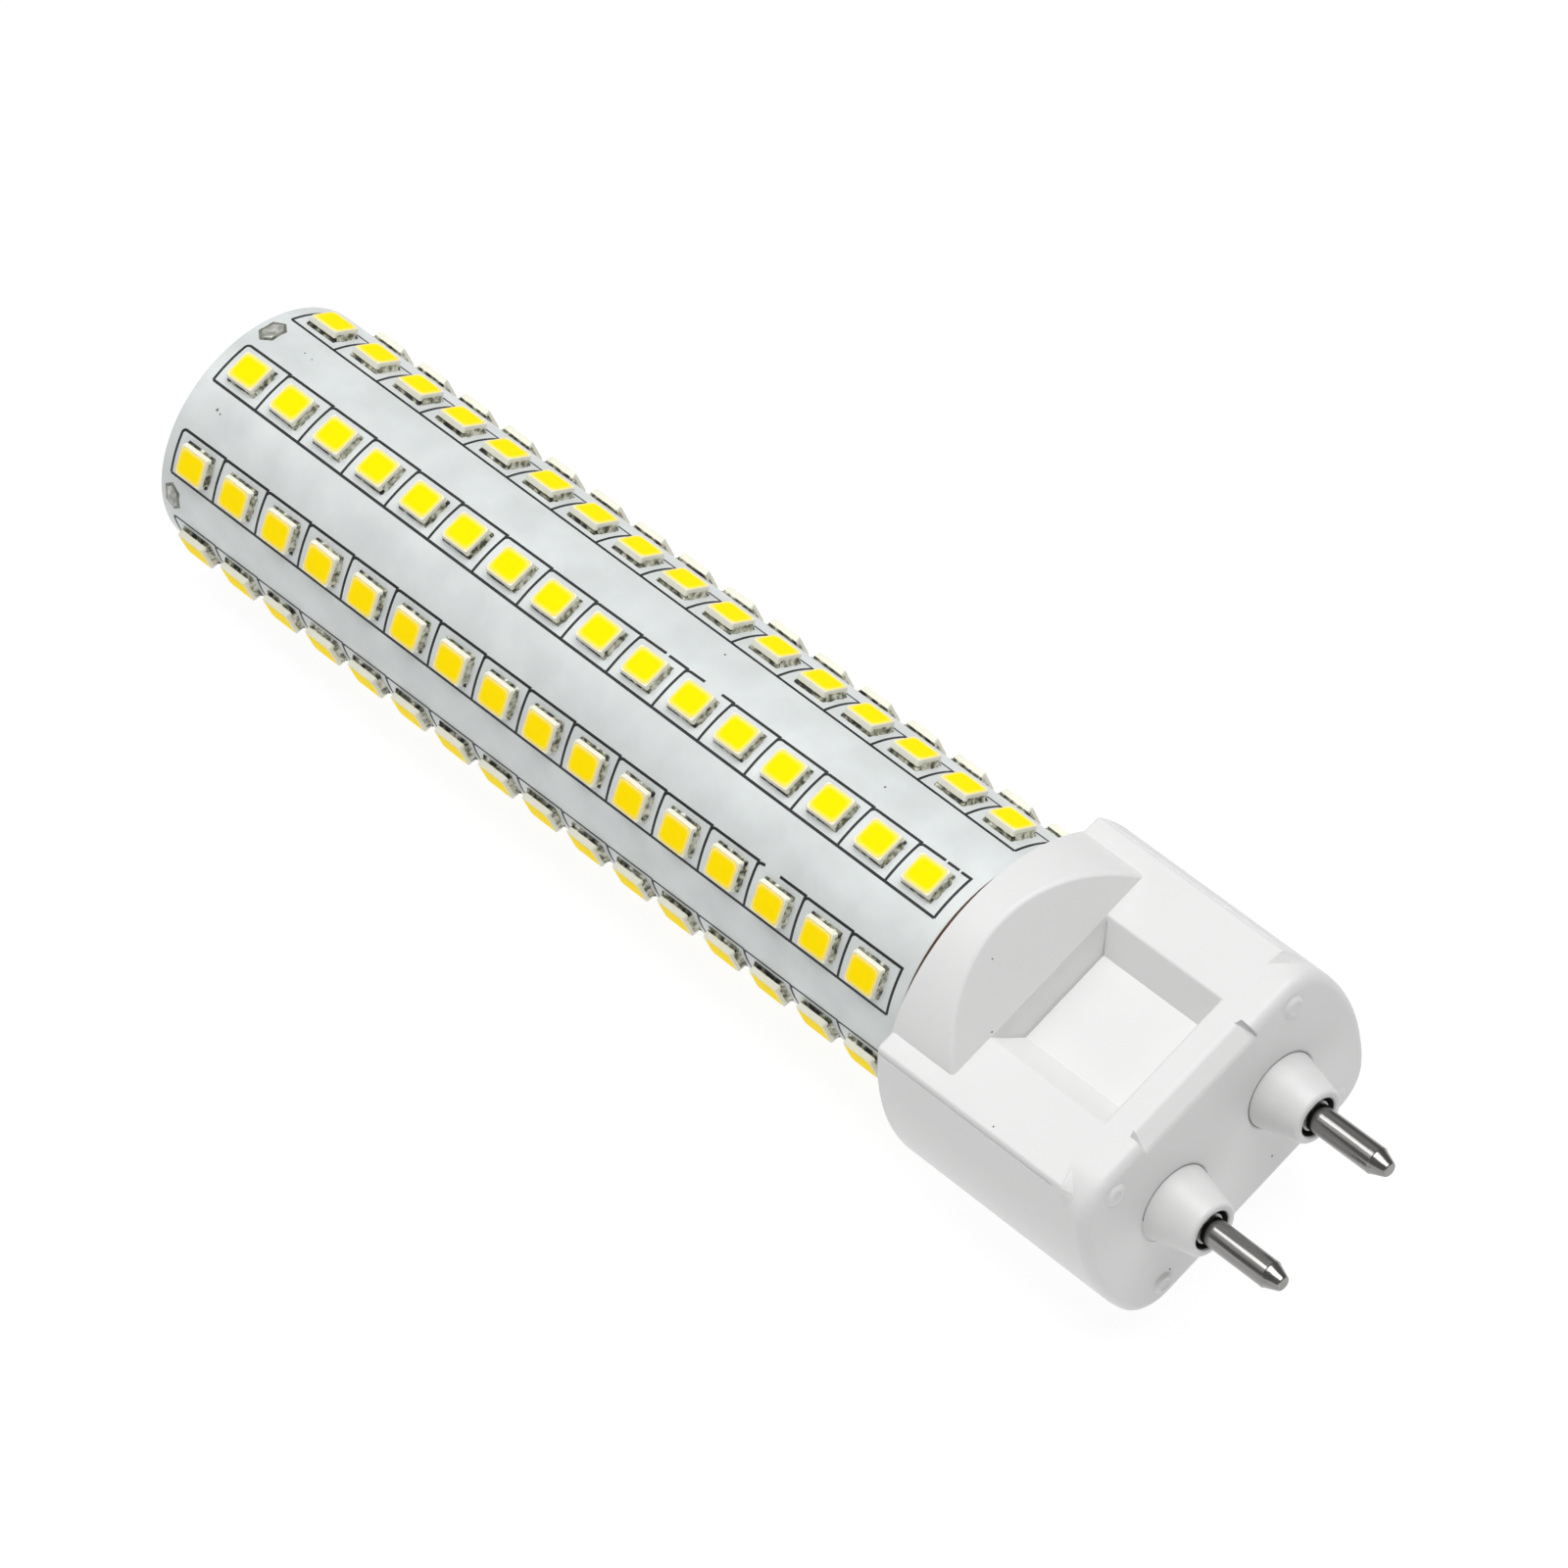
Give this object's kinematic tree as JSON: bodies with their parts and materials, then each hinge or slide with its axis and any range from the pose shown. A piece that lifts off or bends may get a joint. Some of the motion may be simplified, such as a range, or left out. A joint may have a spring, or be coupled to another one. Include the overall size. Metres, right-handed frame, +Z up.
{
  "type": "corn led bulb",
  "caption": "Straight LED corn lamp: a rolled white circuit board set all round with rows of yellow LEDs, on a moulded white bi-pin base with spring recesses and conical pin bosses.",
  "frame": {"origin": "centre of the bounding box on the floor, under the lamp as it lies at rest", "axes": "+X along the lamp towards its pins, +Z up; the lamp lies on two LED rows and on the rear edge of its collar, so its axis falls by 1.76 degrees away from the pins"},
  "size_m": [0.1252, 0.0306, 0.0289],
  "materials": {
    "base_plastic": "white moulded PBT, satin",
    "nickel": "nickel-plated brass, polished",
    "board_white": "white solder mask with black print",
    "tube_metal": "drawn tube",
    "print_black": "screen-printed ink",
    "led_white": "moulded package",
    "phosphor": "yellow phosphor in silicone",
    "solder": "tinned",
    "driver_laminate": "green solder mask",
    "black_epoxy": "moulded",
    "resistor_lacquer": "lacquered",
    "film_box": "moulded box",
    "ferrite": "sintered",
    "copper": "enamelled wire",
    "can_sleeve": "shrunk sleeve",
    "wire_red": "insulated wire",
    "wire_black": "insulated wire"
  },
  "bodies": {
    "root": {"base_housing": "base_plastic", "contact_pin_1": "nickel", "contact_pin_2": "nickel", "support_tube": "tube_metal", "led_board": "board_white", "end_disc": "board_white", "end_pads": "solder", "driver_board": "driver_laminate", "pin_solder": "solder", "fuse_resistor": "resistor_lacquer", "bridge_rectifier": "black_epoxy", "input_capacitor": "film_box", "driver_chip": "black_epoxy", "choke_core": "ferrite", "choke_winding": "copper", "bulk_capacitor": "can_sleeve", "feed_wire_plus": "wire_red", "feed_wire_minus": "wire_black", "row_1_led_bodies": "led_white", "row_1_phosphor": "phosphor", "row_2_led_bodies": "led_white", "row_2_phosphor": "phosphor", "row_3_led_bodies": "led_white", "row_3_phosphor": "phosphor", "row_4_led_bodies": "led_white", "row_4_phosphor": "phosphor", "row_5_led_bodies": "led_white", "row_5_phosphor": "phosphor", "row_6_led_bodies": "led_white", "row_6_phosphor": "phosphor", "row_7_led_bodies": "led_white", "row_7_phosphor": "phosphor", "row_8_led_bodies": "led_white", "row_8_phosphor": "phosphor"}
  },
  "joints": []
}
